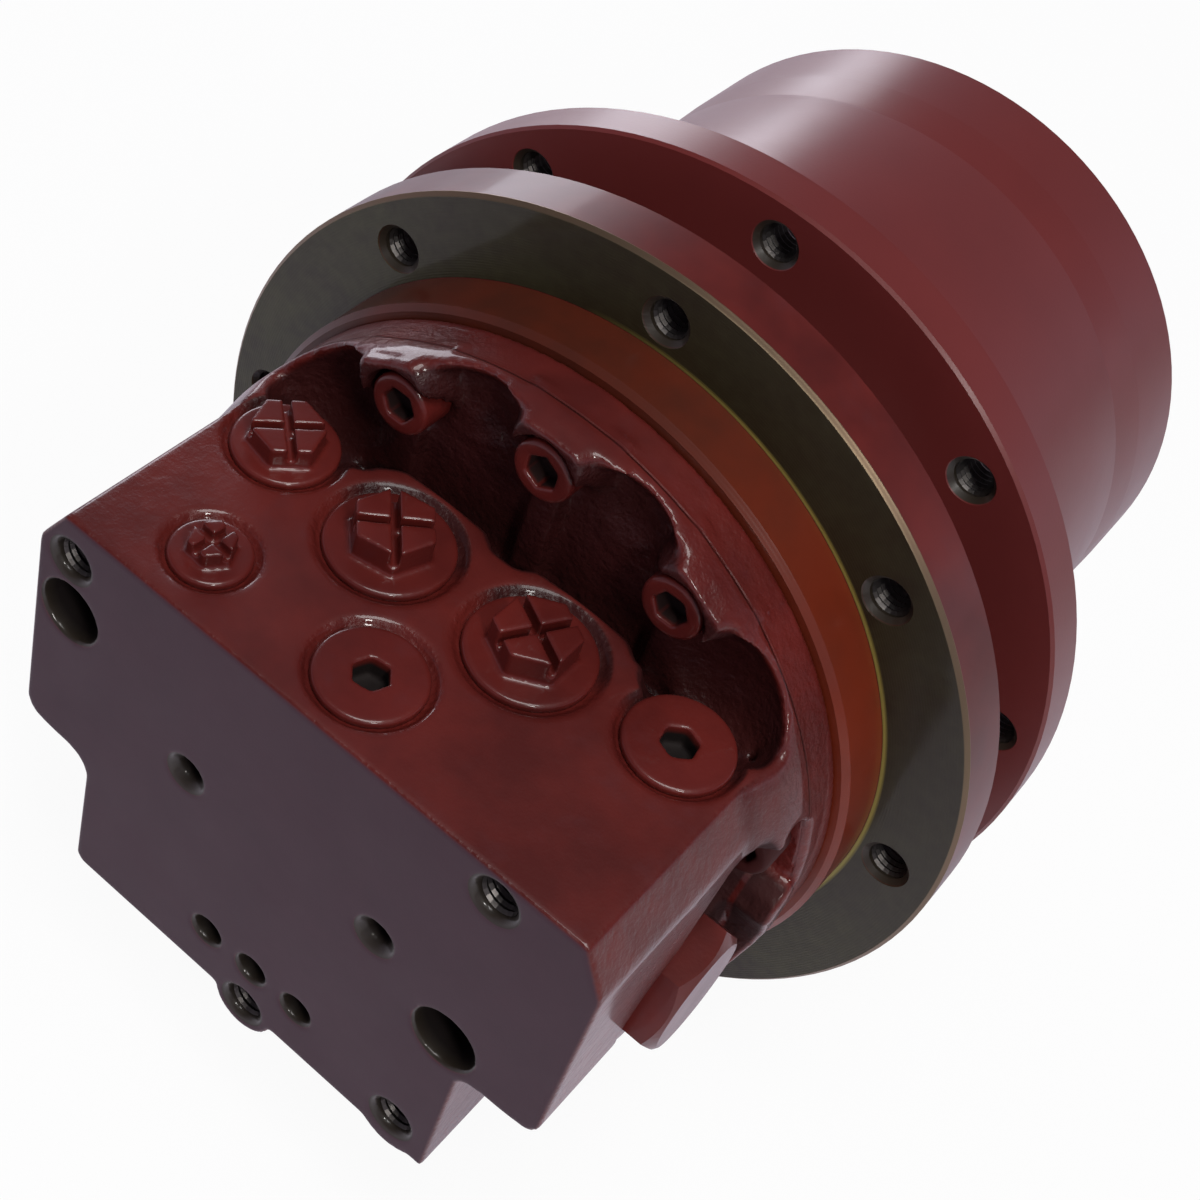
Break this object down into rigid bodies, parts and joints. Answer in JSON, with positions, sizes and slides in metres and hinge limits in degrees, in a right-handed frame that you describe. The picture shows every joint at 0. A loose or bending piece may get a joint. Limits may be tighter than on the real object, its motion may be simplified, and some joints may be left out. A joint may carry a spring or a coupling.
{
  "type": "excavator final drive",
  "caption": "Hydraulic travel motor with a planetary gear case, a flange for the track frame and a threaded flange for the sprocket.",
  "frame": {"origin": "centre of the spindle flange face that bolts to the track frame", "axes": "+Y along the gear case, from the valve block to the end cover; +Z towards the port pad; +X to the side of the flat socket plug"},
  "size_m": [0.2306, 0.2772, 0.2306],
  "materials": {
    "painted_casting": "glossy oxide red paint on cast iron",
    "spindle_iron": "machined and oiled flange face, painted rim and pilot",
    "painted_steel": "glossy oxide red paint on steel",
    "gear_steel": "ground case-hardened steel",
    "bronze": "machined bronze",
    "seal_rubber": "matt black"
  },
  "bodies": {
    "frame_side": {"spindle": "spindle_iron", "valve_block": "painted_casting", "block_screws": "painted_steel", "hex_port_plugs": "painted_steel", "socket_port_plugs": "painted_steel", "spool_caps": "painted_steel", "speed_spool_plugs": "painted_steel", "bearing_inner_rings": "gear_steel", "bearing_nut": "gear_steel", "seal_ring_fixed": "gear_steel", "seal_toric_fixed": "seal_rubber", "fixed_carrier": "gear_steel", "carrier_screws": "gear_steel", "stage2_pins": "gear_steel", "stage2_needle_sleeves": "gear_steel", "timing_plate": "bronze", "rear_shaft_bush": "bronze", "front_bearing_rollers": "gear_steel", "shaft_oil_seal": "seal_rubber", "swash_pivot_balls": "gear_steel", "brake_steel_plates": "gear_steel", "brake_disc_spring": "gear_steel", "spool_spring_left": "gear_steel", "spool_spring_right": "gear_steel", "speed_spool_spring": "gear_steel"},
    "turning_case": {"gear_case": "painted_casting", "end_cover": "painted_steel", "cover_plugs": "painted_steel", "cover_retaining_ring": "gear_steel", "cover_o_ring": "seal_rubber", "bearing_outer_rings": "gear_steel", "seal_ring_turning": "gear_steel", "seal_toric_turning": "seal_rubber"},
    "bearing_sets": {"bearing_rollers": "gear_steel", "bearing_cages": "gear_steel"},
    "first_carrier": {"stage1_carrier": "gear_steel", "stage1_pins": "gear_steel", "stage1_needle_sleeves": "gear_steel", "sun_gear_stage2": "gear_steel"},
    "motor_shaft": {"drive_shaft": "gear_steel", "cylinder_block": "gear_steel", "pistons": "gear_steel", "piston_shoes": "bronze", "retainer_plate": "gear_steel", "retainer_guide": "gear_steel", "cylinder_block_spring": "gear_steel", "friction_discs": "bronze", "sun_gear_stage1": "gear_steel"},
    "planet2_a": {"planet_stage2_1": "gear_steel"},
    "planet2_b": {"planet_stage2_2": "gear_steel"},
    "planet2_c": {"planet_stage2_3": "gear_steel"},
    "planet2_d": {"planet_stage2_4": "gear_steel"},
    "planet1_a": {"planet_stage1_1": "gear_steel"},
    "planet1_b": {"planet_stage1_2": "gear_steel"},
    "planet1_c": {"planet_stage1_3": "gear_steel"},
    "tilting_swashplate": {"swashplate": "gear_steel"},
    "tilt_piston": {"control_piston": "gear_steel"},
    "brake_release": {"brake_piston": "gear_steel"},
    "counterbalance": {"counterbalance_spool": "gear_steel"},
    "speed_selector": {"speed_spool": "gear_steel"}
  },
  "joints": [
    {"name": "case_spin", "type": "hinge", "parent": "frame_side", "child": "turning_case", "pos_m": [0, 0, 0], "axis": [0, 1, 0], "continuous": true},
    {"name": "bearing_spin", "type": "hinge", "parent": "frame_side", "child": "bearing_sets", "pos_m": [0, 0, 0], "axis": [0, 1, 0], "continuous": true},
    {"name": "carrier_spin", "type": "hinge", "parent": "frame_side", "child": "first_carrier", "pos_m": [0, 0, 0], "axis": [0, 1, 0], "continuous": true},
    {"name": "shaft_spin", "type": "hinge", "parent": "frame_side", "child": "motor_shaft", "pos_m": [0, 0, 0], "axis": [0, 1, 0], "continuous": true},
    {"name": "planet2_a_spin", "type": "hinge", "parent": "frame_side", "child": "planet2_a", "pos_m": [0.048, 0, 0], "axis": [0, 1, 0], "continuous": true},
    {"name": "planet2_b_spin", "type": "hinge", "parent": "frame_side", "child": "planet2_b", "pos_m": [0, 0, 0.048], "axis": [0, 1, 0], "continuous": true},
    {"name": "planet2_c_spin", "type": "hinge", "parent": "frame_side", "child": "planet2_c", "pos_m": [-0.048, 0, 0], "axis": [0, 1, 0], "continuous": true},
    {"name": "planet2_d_spin", "type": "hinge", "parent": "frame_side", "child": "planet2_d", "pos_m": [0, 0, -0.048], "axis": [0, 1, 0], "continuous": true},
    {"name": "planet1_a_spin", "type": "hinge", "parent": "first_carrier", "child": "planet1_a", "pos_m": [0.045, 0, 0], "axis": [0, 1, 0], "continuous": true},
    {"name": "planet1_b_spin", "type": "hinge", "parent": "first_carrier", "child": "planet1_b", "pos_m": [-0.0225, 0, 0.03897], "axis": [0, 1, 0], "continuous": true},
    {"name": "planet1_c_spin", "type": "hinge", "parent": "first_carrier", "child": "planet1_c", "pos_m": [-0.0225, 0, -0.03897], "axis": [0, 1, 0], "continuous": true},
    {"name": "swash_tilt", "type": "hinge", "parent": "frame_side", "child": "tilting_swashplate", "pos_m": [0, 0.058, 0], "axis": [1, 0, 0], "range_deg": [0, 5.5]},
    {"name": "tilt_piston_slide", "type": "slide", "parent": "frame_side", "child": "tilt_piston", "axis": [0, -1, 0], "range_m": [0, 0.0034]},
    {"name": "brake_release_slide", "type": "slide", "parent": "frame_side", "child": "brake_release", "axis": [0, -1, 0], "range_m": [0, 0.0015], "stiffness_N_per_m": 20000, "springref_m": -0.001, "deforming": ["brake_disc_spring"]},
    {"name": "counterbalance_slide", "type": "slide", "parent": "frame_side", "child": "counterbalance", "axis": [1, 0, 0], "range_m": [-0.006, 0.006], "stiffness_N_per_m": 2000, "deforming": ["spool_spring_left", "spool_spring_right"]},
    {"name": "speed_selector_slide", "type": "slide", "parent": "frame_side", "child": "speed_selector", "axis": [1, 0, 0], "range_m": [0, 0.005], "stiffness_N_per_m": 1000, "springref_m": -0.002, "deforming": ["speed_spool_spring"]}
  ],
  "couplings": [
    {"joint": "bearing_spin", "follows": "case_spin", "ratio": 0.53407},
    {"joint": "carrier_spin", "follows": "case_spin", "ratio": -3},
    {"joint": "shaft_spin", "follows": "case_spin", "ratio": -19},
    {"joint": "planet2_a_spin", "follows": "case_spin", "ratio": 3},
    {"joint": "planet2_b_spin", "follows": "case_spin", "ratio": 3},
    {"joint": "planet2_c_spin", "follows": "case_spin", "ratio": 3},
    {"joint": "planet2_d_spin", "follows": "case_spin", "ratio": 3},
    {"joint": "planet1_a_spin", "follows": "case_spin", "ratio": 10.667},
    {"joint": "planet1_b_spin", "follows": "case_spin", "ratio": 10.667},
    {"joint": "planet1_c_spin", "follows": "case_spin", "ratio": 10.667},
    {"joint": "tilt_piston_slide", "follows": "swash_tilt", "m_per_rad": 0.034}
  ]
}
